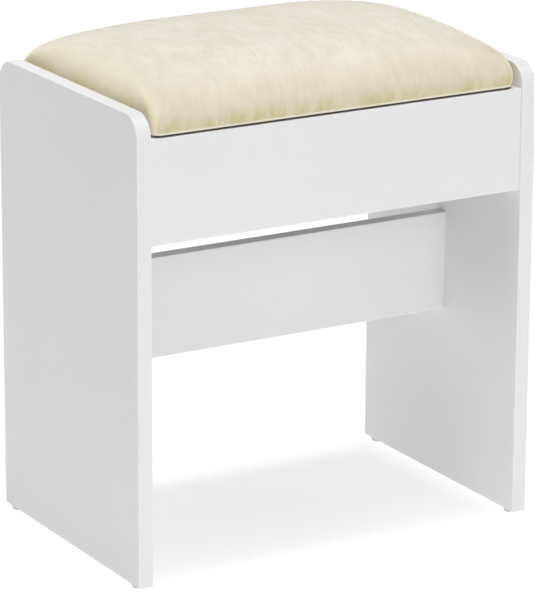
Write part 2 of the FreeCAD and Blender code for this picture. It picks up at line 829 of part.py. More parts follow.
def build_stool():
    for side_name, side in SIDES.items():
        side_panel(side_name, side)
    for rail in RAILS:
        cross_rail(rail)
        cam_locks(rail)
        cam_bolts(rail)
        dowels(rail)
    for rail in RAILS[:2]:
        drill_apron(rail)
    nails = []
    for end_name in ENDS:
        for side_name in SIDES:
            glide(end_name, side_name)
            nails.append(glide_nail(end_name, side_name))
            bracket(end_name, side_name)
    keep("glide_nails", group("nails", nails))
    bracket_screws()
    slots = staple_slots()
    doc.recompute()
    seat_board(slots)
    seat_foam()
    seat_cover(slots)
    dust_cover(slots)
    seat_staples()
    doc.recompute()


def check_document():
    """Stops if any object failed or any piece isn't a sound solid."""
    for thing in doc.Objects:
        if {"Invalid", "Error"} & set(thing.State):
            raise RuntimeError(thing.Name + " failed")
    for label, piece in nodes.items():
        shape = piece.Shape
        if shape.isNull() or not shape.isValid() or not shape.Solids:
            raise RuntimeError(label + " is not a sound solid")


def write_parts():
    os.makedirs("parts", exist_ok=True)
    for label, piece in nodes.items():
        piece.Shape.exportStep("parts/" + label + ".step")
        print(label, len(piece.Shape.Solids), "solid(s)", round(piece.Shape.Volume / 1000, 3), "cm3")


build_stool()
check_document()
write_parts()
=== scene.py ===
"""A white vanity stool with a crowned cream plush seat pad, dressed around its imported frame."""

import logging
import math
from dataclasses import dataclass
from enum import Enum
from typing import Any, Iterable, Optional, Union

import bmesh
import bpy
import numpy as np
from mathutils import Matrix, Vector, noise


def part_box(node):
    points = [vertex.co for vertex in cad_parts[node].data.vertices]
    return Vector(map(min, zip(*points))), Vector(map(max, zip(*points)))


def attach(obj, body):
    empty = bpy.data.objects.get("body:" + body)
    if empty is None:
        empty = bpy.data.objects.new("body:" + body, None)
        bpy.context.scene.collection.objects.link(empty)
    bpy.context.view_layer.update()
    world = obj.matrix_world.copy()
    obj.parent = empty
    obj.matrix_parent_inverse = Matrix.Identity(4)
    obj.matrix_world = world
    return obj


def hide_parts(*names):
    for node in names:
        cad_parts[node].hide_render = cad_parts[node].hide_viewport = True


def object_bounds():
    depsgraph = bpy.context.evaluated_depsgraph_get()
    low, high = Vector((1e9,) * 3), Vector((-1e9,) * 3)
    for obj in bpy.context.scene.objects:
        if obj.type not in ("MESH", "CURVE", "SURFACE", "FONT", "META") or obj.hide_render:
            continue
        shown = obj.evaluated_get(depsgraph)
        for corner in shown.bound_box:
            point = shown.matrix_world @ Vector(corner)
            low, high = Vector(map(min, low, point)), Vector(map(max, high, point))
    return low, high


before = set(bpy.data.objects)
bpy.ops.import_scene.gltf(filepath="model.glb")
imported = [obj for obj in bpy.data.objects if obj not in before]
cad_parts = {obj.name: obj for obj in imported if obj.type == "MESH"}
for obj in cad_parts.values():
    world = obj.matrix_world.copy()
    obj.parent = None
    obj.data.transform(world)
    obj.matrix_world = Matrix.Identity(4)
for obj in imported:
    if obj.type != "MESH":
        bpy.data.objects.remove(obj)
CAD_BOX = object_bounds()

log = logging.getLogger("vanity_stool")

MM = 0.001
TINY = 1e-9
STILL = 1e-7
ROOT = "root"

Colour = tuple[float, float, float, float]
WHITE: Colour = (1.0, 1.0, 1.0, 1.0)


def srgb(red: float, green: float, blue: float) -> Colour:
    """Turns a colour as a screen shows it, 0 to 255, into the linear one that shaders use.

    Args:
        red: Red, 0 to 255.
        green: Green, 0 to 255.
        blue: Blue, 0 to 255.

    Returns:
        Linear red, green and blue, with an alpha of 1.
    """

    def linear(level: float) -> float:
        share = level / 255
        return share / 12.92 if share <= 0.04045 else ((share + 0.055) / 1.055) ** 2.4

    return linear(red), linear(green), linear(blue), 1.0


def deselect_all() -> None:
    """Leaves edit mode and selects nothing."""
    if bpy.context.object and bpy.context.object.mode != "OBJECT":
        bpy.ops.object.mode_set(mode="OBJECT")
    bpy.ops.object.select_all(action="DESELECT")


def activate(piece: bpy.types.Object) -> None:
    """Makes one object the selected and active one.

    Args:
        piece: The object.
    """
    deselect_all()
    piece.select_set(True)
    bpy.context.view_layer.objects.active = piece


def places(mesh: bpy.types.Mesh) -> np.ndarray:
    """The mesh's vertices as an array of points.

    Args:
        mesh: The mesh.

    Returns:
        One row for each vertex.
    """
    flat = np.zeros(len(mesh.vertices) * 3)
    mesh.vertices.foreach_get("co", flat)
    return flat.reshape(-1, 3)


def set_places(mesh: bpy.types.Mesh, points: np.ndarray) -> None:
    """Moves the mesh's vertices to an array of points, one row each."""
    mesh.vertices.foreach_set("co", np.asarray(points, dtype=float).ravel())
    mesh.update()


def normals(mesh: bpy.types.Mesh) -> np.ndarray:
    """The mesh's vertex normals.

    Args:
        mesh: The mesh.

    Returns:
        One row for each vertex.
    """
    flat = np.zeros(len(mesh.vertices) * 3)
    mesh.vertex_normals.foreach_get("vector", flat)
    return flat.reshape(-1, 3)


def smoothstep(low: float, high: float, value: np.ndarray) -> np.ndarray:
    """Eases values from 0 at low to 1 at high."""
    share = np.clip((value - low) / (high - low), 0, 1)
    return share * share * (3 - 2 * share)


def opened(mesh: bpy.types.Mesh) -> bmesh.types.BMesh:
    """Opens a mesh as a net, to which faces can be added.

    Args:
        mesh: The mesh.

    Returns:
        The net.
    """
    net = bmesh.new()
    net.from_mesh(mesh)
    return net


def written(net: bmesh.types.BMesh, mesh: bpy.types.Mesh) -> None:
    """Writes a net back to its mesh and lets it go."""
    net.to_mesh(mesh)
    net.free()


def close_border(net: bmesh.types.BMesh) -> None:
    """Closes a net's open border with one face, and points every face outwards."""
    bmesh.ops.contextual_create(net, geom=[edge for edge in net.edges if edge.is_boundary])
    bmesh.ops.recalc_face_normals(net, faces=net.faces)


class Coordinates(Enum):
    """What a pattern follows on its piece."""

    PLACE = "Object"
    FACING = "Normal"


class Shade:
    """A value in a node graph. Python's operators on it add Math nodes."""

    def __init__(self, graph: "Graph", socket: bpy.types.NodeSocket) -> None:
        """Wraps the output socket of a node.

        Args:
            graph: The graph that the socket is in.
            socket: The output that holds the value.
        """
        self.graph = graph
        self.socket = socket

    def __add__(self, other: "Amount") -> "Shade":
        """This value plus another."""
        return self.graph.maths("ADD", self, other)

    def __sub__(self, other: "Amount") -> "Shade":
        """This value less another."""
        return self.graph.maths("SUBTRACT", self, other)

    def __rsub__(self, other: "Amount") -> "Shade":
        """Another value less this one."""
        return self.graph.maths("SUBTRACT", other, self)

    def __mul__(self, other: "Amount") -> "Shade":
        """This value times another."""
        return self.graph.maths("MULTIPLY", self, other)

    def __abs__(self) -> "Shade":
        """This value without its sign."""
        return self.graph.maths("ABSOLUTE", self)

    __radd__ = __add__
    __rmul__ = __mul__

    def eased(self, low: float, high: float, start: float = 0.0, end: float = 1.0) -> "Shade":
        """Eases this value from start, at low, to end, at high.

        Args:
            low: The value at which the result is start.
            high: The value at which the result is end.
            start: The result at and under low.
            end: The result at and over high.

        Returns:
            The eased value.
        """
        made = self.graph.node("ShaderNodeMapRange", {"interpolation_type": "SMOOTHSTEP"},
                               {"Value": self, "From Min": low, "From Max": high,
                                "To Min": start, "To Max": end})
        return Shade(self.graph, made.outputs["Result"])


Amount = Union[float, Shade]


class Graph:
    """The node graph of a material or of the world."""

    def __init__(self, tree: bpy.types.NodeTree) -> None:
        """Empties a node tree and takes it over.

        Args:
            tree: The tree to build in.
        """
        self.tree = tree
        tree.nodes.clear()

    def node(self, kind: str, settings: Optional[dict[str, Any]] = None,
             sockets: Optional[dict[Any, Any]] = None) -> bpy.types.Node:
        """Adds a node, sets what it is, and fills or links its sockets.

        Args:
            kind: The node's type.
            settings: Its settings by name, such as a Math node's operation.
            sockets: Values, colours or outputs for its inputs, by name or number.

        Returns:
            The new node.
        """
        made = self.tree.nodes.new(kind)
        for name, value in (settings or {}).items():
            setattr(made, name, value)
        for key, value in (sockets or {}).items():
            if isinstance(value, Shade):
                value = value.socket
            if isinstance(value, bpy.types.NodeSocket):
                self.tree.links.new(value, made.inputs[key])
            else:
                made.inputs[key].default_value = value
        return made

    def maths(self, operation: str, *values: Amount) -> Shade:
        """Adds a Math node for one operation on values."""
        made = self.node("ShaderNodeMath", {"operation": operation}, dict(enumerate(values)))
        return Shade(self, made.outputs[0])

    def coordinates(self, kind: Coordinates = Coordinates.PLACE) -> bpy.types.NodeSocket:
        """Coordinates that stay with the piece."""
        return self.node("ShaderNodeTexCoord").outputs[kind.value]

    def rays(self, *kinds: str) -> Shade:
        """A mask of 1 for some kinds of ray and 0 for the others.

        Args:
            kinds: Outputs of the Light Path node.

        Returns:
            The mask.
        """
        path = self.node("ShaderNodeLightPath")
        mask = Shade(self, path.outputs[kinds[0]])
        for kind in kinds[1:]:
            mask = self.maths("MAXIMUM", mask, Shade(self, path.outputs[kind]))
        return mask

    def parts(self, vector: bpy.types.NodeSocket) -> tuple[Shade, Shade, Shade]:
        """A vector's three parts."""
        made = self.node("ShaderNodeSeparateXYZ", None, {0: vector})
        return tuple(Shade(self, output) for output in made.outputs[:3])

    def mapped(self, vector: bpy.types.NodeSocket, scale: tuple[float, float, float],
               turn: tuple[float, float, float] = (0, 0, 0)) -> bpy.types.NodeSocket:
        """Turns coordinates, in degrees, then scales them.

        Args:
            vector: The coordinates.
            scale: The scale along each turned axis.
            turn: Degrees about each axis.

        Returns:
            The new coordinates.
        """
        turned = vector
        if any(turn):
            angles = tuple(math.radians(angle) for angle in turn)
            turned = self.node("ShaderNodeMapping", {"vector_type": "POINT"},
                               {"Vector": vector, "Rotation": angles}).outputs[0]
        made = self.node("ShaderNodeMapping", {"vector_type": "POINT"},
                         {"Vector": turned, "Scale": scale})
        return made.outputs[0]

    def noise(self, vector: bpy.types.NodeSocket, scale: float, detail: float = 2.0,
              roughness: float = 0.5, distortion: float = 0.0) -> Shade:
        """Smooth noise from 0 to 1 about a middle of one half.

        Args:
            vector: The coordinates, in metres.
            scale: How many blobs there are to a unit.
            detail: How many finer octaves are added.
            roughness: How strong those octaves are.
            distortion: How much the pattern is swirled.

        Returns:
            The noise value.
        """
        made = self.node("ShaderNodeTexNoise", {"noise_dimensions": "3D"},
                         {"Vector": vector, "Scale": scale, "Detail": detail,
                          "Roughness": roughness, "Distortion": distortion})
        return Shade(self, made.outputs[0])

    def warped(self, vector: bpy.types.NodeSocket, scale: float,
               reach: float) -> bpy.types.NodeSocket:
        """Pushes coordinates about by smooth noise.

        Args:
            vector: The coordinates, in metres.
            scale: Blobs of the push to a metre.
            reach: How far the push goes, in metres.

        Returns:
            The pushed coordinates.
        """
        made = self.node("ShaderNodeTexNoise", {"noise_dimensions": "3D"},
                         {"Vector": vector, "Scale": scale, "Detail": 1.0})
        centred = self.node("ShaderNodeVectorMath", {"operation": "SUBTRACT"},
                            {0: made.outputs["Color"], 1: (0.5, 0.5, 0.5)}).outputs[0]
        push = self.node("ShaderNodeVectorMath", {"operation": "SCALE"},
                         {0: centred, "Scale": reach}).outputs[0]
        pushed = self.node("ShaderNodeVectorMath", {"operation": "ADD"}, {0: vector, 1: push})
        return pushed.outputs[0]

    def blend(self, factor: Amount, first: Any, second: Any) -> bpy.types.NodeSocket:
        """Mixes two colours.

        Args:
            factor: 0 for the first, 1 for the second.
            first: A colour or an output.
            second: A colour or an output.

        Returns:
            The mixed colour.
        """
        made = self.node("ShaderNodeMix", {"data_type": "RGBA"}, {0: factor, 6: first, 7: second})
        return made.outputs[2]

    def bump(self, height: Amount, distance: float, strength: float,
             normal: Optional[bpy.types.NodeSocket] = None) -> bpy.types.NodeSocket:
        """Raises the surface by a height.

        Args:
            height: The height, from 0 to 1.
            distance: What a height of 1 is, in metres.
            strength: How much of it shows.
            normal: A bump to add this one to.

        Returns:
            The bumped normal.
        """
        sockets = {"Height": height, "Distance": distance, "Strength": strength}
        if normal is not None:
            sockets["Normal"] = normal
        return self.node("ShaderNodeBump", None, sockets).outputs[0]

    def surface(self, sockets: dict[str, Any]) -> None:
        """Ends the graph in a Principled surface with these sockets."""
        shader = self.node("ShaderNodeBsdfPrincipled", None, sockets)
        self.node("ShaderNodeOutputMaterial", None, {"Surface": shader.outputs[0]})


@dataclass(frozen=True)
class Grain:
    """Smooth noise, stretched and turned as strokes, hairs and wood grain are."""

    cells: tuple[float, float, float]
    turn: float = 0.0
    detail: float = 2.0
    roughness: float = 0.5
    swirl: float = 0.0

    def over(self, graph: Graph, at: bpy.types.NodeSocket) -> Shade:
        """The grain's value on coordinates in metres."""
        stretched = graph.mapped(at, self.cells, (0, 0, self.turn))
        return graph.noise(stretched, 1.0, self.detail, self.roughness, self.swirl)


@dataclass(frozen=True)
class Finish:
    """What a piece is made of, or coated with."""

    slot: str

    def paint(self, graph: Graph) -> None:
        """Builds the finish in a material's graph.

        Args:
            graph: The graph to build in.
        """
        raise NotImplementedError

    def material(self) -> bpy.types.Material:
        """The finish as a material, made the first time that it is asked for.

        Returns:
            The material.
        """
        found = bpy.data.materials.get(self.slot + "_finish")
        if found:
            return found
        made = bpy.data.materials.new(self.slot + "_finish")
        made.use_nodes = True
        self.paint(Graph(made.node_tree))
        return made

    def dress(self, *pieces: bpy.types.Object) -> None:
        """Puts the finish on every face of pieces.

        Args:
            pieces: The pieces.
        """
        for piece in pieces:
            piece.data.materials.clear()
            piece.data.materials.append(self.material())


@dataclass(frozen=True)
class SatinPaint(Finish):
    """White satin paint, sprayed on smooth fibreboard."""

    slot: str = "white_board"
    face: Colour = srgb(236, 236, 237)
    # painted highlight: the lighter colour given to the rounded edges
    edge: Colour = srgb(240, 240, 241)
    dust: Colour = srgb(214, 212, 208)
    cloud_shade: float = 0.985
    clouds_per_metre: float = 9.0
    specks_per_metre: float = 60.0
    gloss_low: float = 0.36
    gloss_high: float = 0.46
    peel_per_metre: float = 380.0
    peel_depth: float = 0.05 * MM

    def paint(self, graph: Graph) -> None:
        """A faint orange peel, cloudy gloss, and a painted highlight on the rounded edges.

        Args:
            graph: The graph to build in.
        """
        at = graph.coordinates()
        facing = graph.parts(graph.coordinates(Coordinates.FACING))
        across, along, up = (abs(part) for part in facing)
        widest = graph.maths("MAXIMUM", graph.maths("MAXIMUM", across, along), up)
        cloud = graph.noise(at, self.clouds_per_metre, 3.0)
        specks = graph.noise(at, self.specks_per_metre, 4.0, 0.6)
        # painted highlight where the surface turns between faces, on the rounded edges
        arris_highlight = (graph.maths("MINIMUM", across, along) + (1 - widest)).eased(0.02, 0.25)
        clouded = tuple(level * self.cloud_shade for level in self.face[:3]) + (1.0,)
        base = graph.blend(cloud.eased(0.3, 0.7) * 0.5, self.face, clouded)
        base = graph.blend(arris_highlight, base, self.edge)
        base = graph.blend(specks.eased(0.62, 0.8) * 0.05, base, self.dust)
        peel = graph.noise(at, self.peel_per_metre, 2.0, 0.55)
        fine = graph.noise(at, self.peel_per_metre * 4.5, 1.0)
        normal = graph.bump(peel + fine * 0.25, self.peel_depth, 0.55)
        gloss = cloud.eased(0.25, 0.75, self.gloss_low, self.gloss_high) + (specks - 0.5) * 0.06
        graph.surface({"Base Color": base, "Roughness": gloss, "Normal": normal,
                       "IOR": 1.46, "Specular IOR Level": 0.4})


@dataclass(frozen=True)
class CrushedPlush(Finish):
    """Cream plush whose short pile lies in soft brushed strokes, with painted light and shade, over
    a dark strip of painted gap shadow.
    """

    slot: str = "cream_fabric"
    light: Colour = srgb(245, 240, 225)
    middle: Colour = srgb(235, 227, 208)
    # painted shade for the front and back slopes of the pad
    shaded: Colour = srgb(211, 200, 170)
    # painted yellow shade low down on the pad; the next colour is darker, for patches of it
    painted_low_shade: Colour = srgb(206, 190, 144)
    painted_patch_shade: Colour = srgb(206, 188, 138)
    roots: Colour = srgb(214, 202, 172)
    # painted light for the end faces
    end: Colour = srgb(255, 249, 224)
    # painted light low on the end faces, yellowed as shaded cream is
    painted_low_end_light: Colour = srgb(246, 231, 184)
    # painted light along the lower edge of the lip
    painted_rim_light: Colour = srgb(253, 249, 232)
    # painted shadow of the gap under the lip: a dark strip low on the plush
    painted_gap_shadow: Colour = srgb(64, 47, 33)
    sheen: Colour = srgb(255, 250, 236)
    slope_band: tuple[float, float] = (52 * MM, 26 * MM)
    low_end_light_band: tuple[float, float] = (48 * MM, 12 * MM)
    # heights of the painted shade low down on the pad
    low_shade_band: tuple[float, float] = (24 * MM, 4 * MM)
    rim_light_band: tuple[float, float] = (4.6 * MM, 3.2 * MM)
    gap_shadow_band: tuple[float, float] = (2.1 * MM, 1.7 * MM)
    gap_shadow_width: float = 14 * MM
    gap_shadow_blur: float = 0.5 * MM
    crown_strokes: Grain = Grain((150, 34, 40), turn=7, swirl=0.5)
    side_strokes: Grain = Grain((235, 40, 52), turn=4, swirl=0.5)
    cross_strokes: Grain = Grain((95, 42, 40), turn=-28, swirl=0.8)
    patches: Grain = Grain((62, 40, 30), detail=1.5, swirl=0.6)
    pile: Grain = Grain((800, 500, 500), roughness=0.6)
    stroke_depth: float = 1.6 * MM
    pile_depth: float = 0.2 * MM

    def band(self, up: Shade, heights: tuple[float, float]) -> Shade:
        """A mask of 1 on the lower part of the pad.

        Args:
            up: The height of the shaded point.
            heights: Heights over the pad's foot at which the mask is 0 and 1.

        Returns:
            The mask.
        """
        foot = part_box("seat_cover")[0].z
        return up.eased(foot + heights[0], foot + heights[1])

    def paint(self, graph: Graph) -> None:
        """Strokes that run down from the ridge, painted yellow shade in patches low down, painted
        light on the ends and lip, and a strip of painted gap shadow.

        Args:
            graph: The graph to build in.
        """
        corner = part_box("seat_cover")[1]
        at = graph.coordinates()
        across, along, up = graph.parts(at)
        facing_x = abs(graph.parts(graph.coordinates(Coordinates.FACING))[0])
        # at_end is 1 on the end faces; it carries their strokes and the painted light on them
        at_end = facing_x.eased(0.25, 0.80)
        pushed = graph.warped(at, 17.0, 0.020)
        crossing = self.cross_strokes.over(graph, pushed)
        patches = self.patches.over(graph, pushed)
        pile = self.pile.over(graph, at)
        broad = graph.noise(pushed, 21.0, 2.0, 0.5, 0.5)
        # low is the mask of the painted shade low down on the pad
        low = self.band(up, self.low_shade_band)
        slope = self.band(up, self.slope_band)
        stroke = self.crown_strokes.over(graph, pushed) * (1 - slope)
        stroke = stroke + self.side_strokes.over(graph, pushed) * slope
        stroke = stroke * (1 - at_end * 0.7) + broad * at_end * 0.7
        shine = (stroke * 0.42 + crossing * 0.26 + broad * 0.32 - 0.5) * 2.6 + 0.5
        tone = graph.blend(shine.eased(0.05, 0.95), self.middle, self.light)
        # painted shade, darker down the front and back slopes, left off the end faces
        tone = graph.blend(slope * (1 - at_end) * 0.42, tone, self.shaded)
        # painted yellow shade low down, broken into patches, darker still in some
        patchy_low_shade = patches.eased(0.38, 0.66) * low
        tone = graph.blend(low * 0.38 + patchy_low_shade * 0.45, tone, self.painted_low_shade)
        tone = graph.blend(patchy_low_shade * stroke.eased(0.55, 0.38) * 0.35, tone, self.painted_patch_shade)
        # painted light on the end faces, which face along X
        tone = graph.blend(at_end * 0.75, tone, self.end)
        # painted light low on the end faces by the side panels, yellow and patchy
        low_end_light = at_end * self.band(up, self.low_end_light_band)
        tone = graph.blend(low_end_light * (0.3 + patches.eased(0.35, 0.65) * 0.5), tone, self.painted_low_end_light)
        tone = graph.blend(pile.eased(0.3, 0.7) * 0.05, tone, self.roots)
        # painted light: a thin pale line on the lip's lower edge, just over the gap shadow
        tone = graph.blend(self.band(up, self.rim_light_band) * 0.8, tone, self.painted_rim_light)
        # border masks the painted gap shadow to a strip along the plush's outer edge
        border = graph.maths("MAXIMUM", abs(across) - (corner.x - self.gap_shadow_width),
                             abs(along) - (corner.y - self.gap_shadow_width))
        border = border.eased(-self.gap_shadow_blur, self.gap_shadow_blur)
        tone = graph.blend(self.band(up, self.gap_shadow_band) * border, tone, self.painted_gap_shadow)
        raised = stroke * 0.5 + crossing * 0.2 + broad * 0.5
        normal = graph.bump(raised, self.stroke_depth, 0.35)
        normal = graph.bump(pile, self.pile_depth, 0.25, normal)
        gloss = shine.eased(0.0, 1.0, 0.95, 0.82)
        graph.surface({"Base Color": tone, "Roughness": gloss, "Normal": normal,
                       "Sheen Weight": 1.0, "Sheen Roughness": 0.3, "Sheen Tint": self.sheen,
                       "Specular IOR Level": 0.12})


@dataclass(frozen=True)
class SpunCloth(Finish):
    """Thin black spun-bonded cloth with a dotted emboss."""

    slot: str = "black_cloth"
    tone: Colour = srgb(31, 31, 33)
    worn: Colour = srgb(58, 58, 60)
    pressed: Colour = srgb(17, 17, 19)
    dots_per_metre: float = 620.0
    emboss_depth: float = 0.18 * MM

    def paint(self, graph: Graph) -> None:
        """Fine fibres under a grid of pressed dots.

        Args:
            graph: The graph to build in.
        """
        at = graph.coordinates()
        x, y, _ = graph.parts(graph.mapped(at, (self.dots_per_metre,) * 3, (0, 0, 45)))
        rows = graph.maths("SINE", x * math.tau) * graph.maths("SINE", y * math.tau)
        dots = rows.eased(0.35, 0.8)
        fibres = graph.noise(graph.warped(at, 300.0, 0.004), 1400.0, 4.0, 0.7, 1.2)
        clouds = graph.noise(at, 55.0, 3.0)
        wear = fibres.eased(0.35, 0.75) * 0.5 + clouds.eased(0.4, 0.8) * 0.25
        tone = graph.blend(wear, self.tone, self.worn)
        tone = graph.blend(dots * 0.6, tone, self.pressed)
        normal = graph.bump(fibres * 0.5 + dots * -0.8, self.emboss_depth, 0.7)
        graph.surface({"Base Color": tone, "Roughness": 0.86 - dots * 0.3, "Normal": normal,
                       "Sheen Weight": 0.2, "Sheen Roughness": 0.5, "Specular IOR Level": 0.3})


@dataclass(frozen=True)
class Plywood(Finish):
    """Bare birch plywood: long grain on the faces, plies along the edges."""

    slot: str = "plywood"
    ply: float = 1.4 * MM
    figure: Grain = Grain((3, 70, 20), detail=4.0, roughness=0.6, swirl=0.8)
    pores: Grain = Grain((60, 1300, 1300), detail=3.0, roughness=0.7)
    grain_depth: float = 0.1 * MM
    pale: Colour = srgb(222, 192, 148)
    dark: Colour = srgb(176, 137, 92)

    def paint(self, graph: Graph) -> None:
        """Grain along the board, and stripes through its thickness.

        Args:
            graph: The graph to build in.
        """
        at = graph.coordinates()
        up = graph.parts(at)[2]
        facing_up = abs(graph.parts(graph.coordinates(Coordinates.FACING))[2])
        figure = self.figure.over(graph, graph.warped(at, 9.0, 0.05))
        pores = self.pores.over(graph, at)
        plies = graph.maths("SINE", up * (math.tau / (self.ply * 2)))
        face = figure.eased(0.35, 0.7) * 0.7 + pores.eased(0.55, 0.75) * 0.25
        edge = plies.eased(-0.5, 0.5) * 0.8 + pores.eased(0.5, 0.7) * 0.2
        flat = facing_up.eased(0.5, 0.8)
        tone = graph.blend(face * flat + edge * (1 - flat), self.pale, self.dark)
        normal = graph.bump(pores + figure, self.grain_depth, 0.5)
        graph.surface({"Base Color": tone, "Roughness": figure.eased(0.3, 0.7, 0.62, 0.75),
                       "Normal": normal})


@dataclass(frozen=True)
class Beech(Finish):
    """Turned beech, pinkish with short dark flecks, its grain along X."""

    slot: str = "beech"
    pale: Colour = srgb(226, 190, 150)
    dark: Colour = srgb(190, 146, 104)
    fleck: Colour = srgb(140, 98, 64)
    flecks: Grain = Grain((160, 1500, 1500), detail=3.0, roughness=0.6)
    figure: Grain = Grain((25, 320, 320), detail=3.0, swirl=0.5)
    grain_depth: float = 0.1 * MM

    def paint(self, graph: Graph) -> None:
        """Flecks and pores that run along the dowel.

        Args:
            graph: The graph to build in.
        """
        at = graph.coordinates()
        flecks = self.flecks.over(graph, at)
        figure = self.figure.over(graph, at)
        tone = graph.blend(figure.eased(0.3, 0.75) * 0.7, self.pale, self.dark)
        tone = graph.blend(flecks.eased(0.6, 0.78) * 0.7, tone, self.fleck)
        normal = graph.bump(flecks, self.grain_depth, 0.5)
        graph.surface({"Base Color": tone, "Roughness": figure.eased(0.3, 0.7, 0.55, 0.68),
                       "Normal": normal})


@dataclass(frozen=True)
class CastZinc(Finish):
    """Dull zinc as it comes out of the die."""

    slot: str = "zinc"
    tone: Colour = srgb(176, 178, 182)
    dark: Colour = srgb(132, 134, 140)
    skin_depth: float = 0.08 * MM

    def paint(self, graph: Graph) -> None:
        """Cloudy metal with a sandy skin.

        Args:
            graph: The graph to build in.
        """
        at = graph.coordinates()
        cloud = graph.noise(at, 240.0, 4.0, 0.6)
        sand = graph.noise(at, 3200.0, 2.0, 0.7)
        tone = graph.blend(cloud.eased(0.35, 0.7), self.tone, self.dark)
        normal = graph.bump(sand + cloud * 0.5, self.skin_depth, 0.6)
        graph.surface({"Base Color": tone, "Metallic": 0.9, "Normal": normal,
                       "Roughness": cloud.eased(0.3, 0.7, 0.42, 0.6)})


@dataclass(frozen=True)
class PlatedSteel(Finish):
    """Pressed steel with a thin bright zinc plating."""

    slot: str = "plated_steel"
    tone: Colour = srgb(203, 206, 210)
    tint: Colour = srgb(186, 192, 203)
    scratch: Colour = srgb(150, 152, 156)
    hairs: Grain = Grain((120, 4200, 900), turn=12, roughness=0.6)
    scratch_depth: float = 0.03 * MM

    def paint(self, graph: Graph) -> None:
        """Faint blue passivation and hairline scratches.

        Args:
            graph: The graph to build in.
        """
        at = graph.coordinates()
        cloud = graph.noise(graph.warped(at, 60.0, 0.01), 90.0, 3.0, 0.6)
        hairs = self.hairs.over(graph, at)
        tone = graph.blend(cloud.eased(0.35, 0.7), self.tone, self.tint)
        tone = graph.blend(hairs.eased(0.68, 0.8) * 0.35, tone, self.scratch)
        normal = graph.bump(hairs + cloud * 0.4, self.scratch_depth, 0.5)
        graph.surface({"Base Color": tone, "Metallic": 1.0, "Normal": normal,
                       "Roughness": cloud.eased(0.3, 0.7, 0.26, 0.4)})


@dataclass(frozen=True)
class MouldedPlastic(Finish):
    """Pale grey plastic with a fine moulded grain."""

    slot: str = "glide_plastic"
    tone: Colour = srgb(206, 207, 209)
    scuffed: Colour = srgb(184, 184, 184)
    scuffs: Grain = Grain((500, 150, 500), turn=30, detail=3.0, roughness=0.7)
    worn_heights: tuple[float, float] = (1.2 * MM, 0.2 * MM)
    grain_depth: float = 0.04 * MM

    def paint(self, graph: Graph) -> None:
        """A spark-eroded grain, scuffed where the glide meets the floor.

        Args:
            graph: The graph to build in.
        """
        at = graph.coordinates()
        up = graph.parts(at)[2]
        grain = graph.noise(at, 2600.0, 2.0, 0.6)
        worn = up.eased(*self.worn_heights) * self.scuffs.over(graph, at).eased(0.4, 0.65)
        tone = graph.blend(worn * 0.8 + grain * 0.08, self.tone, self.scuffed)
        normal = graph.bump(grain, self.grain_depth, 0.6)
        graph.surface({"Base Color": tone, "Roughness": 0.5 + worn * 0.25, "Normal": normal})


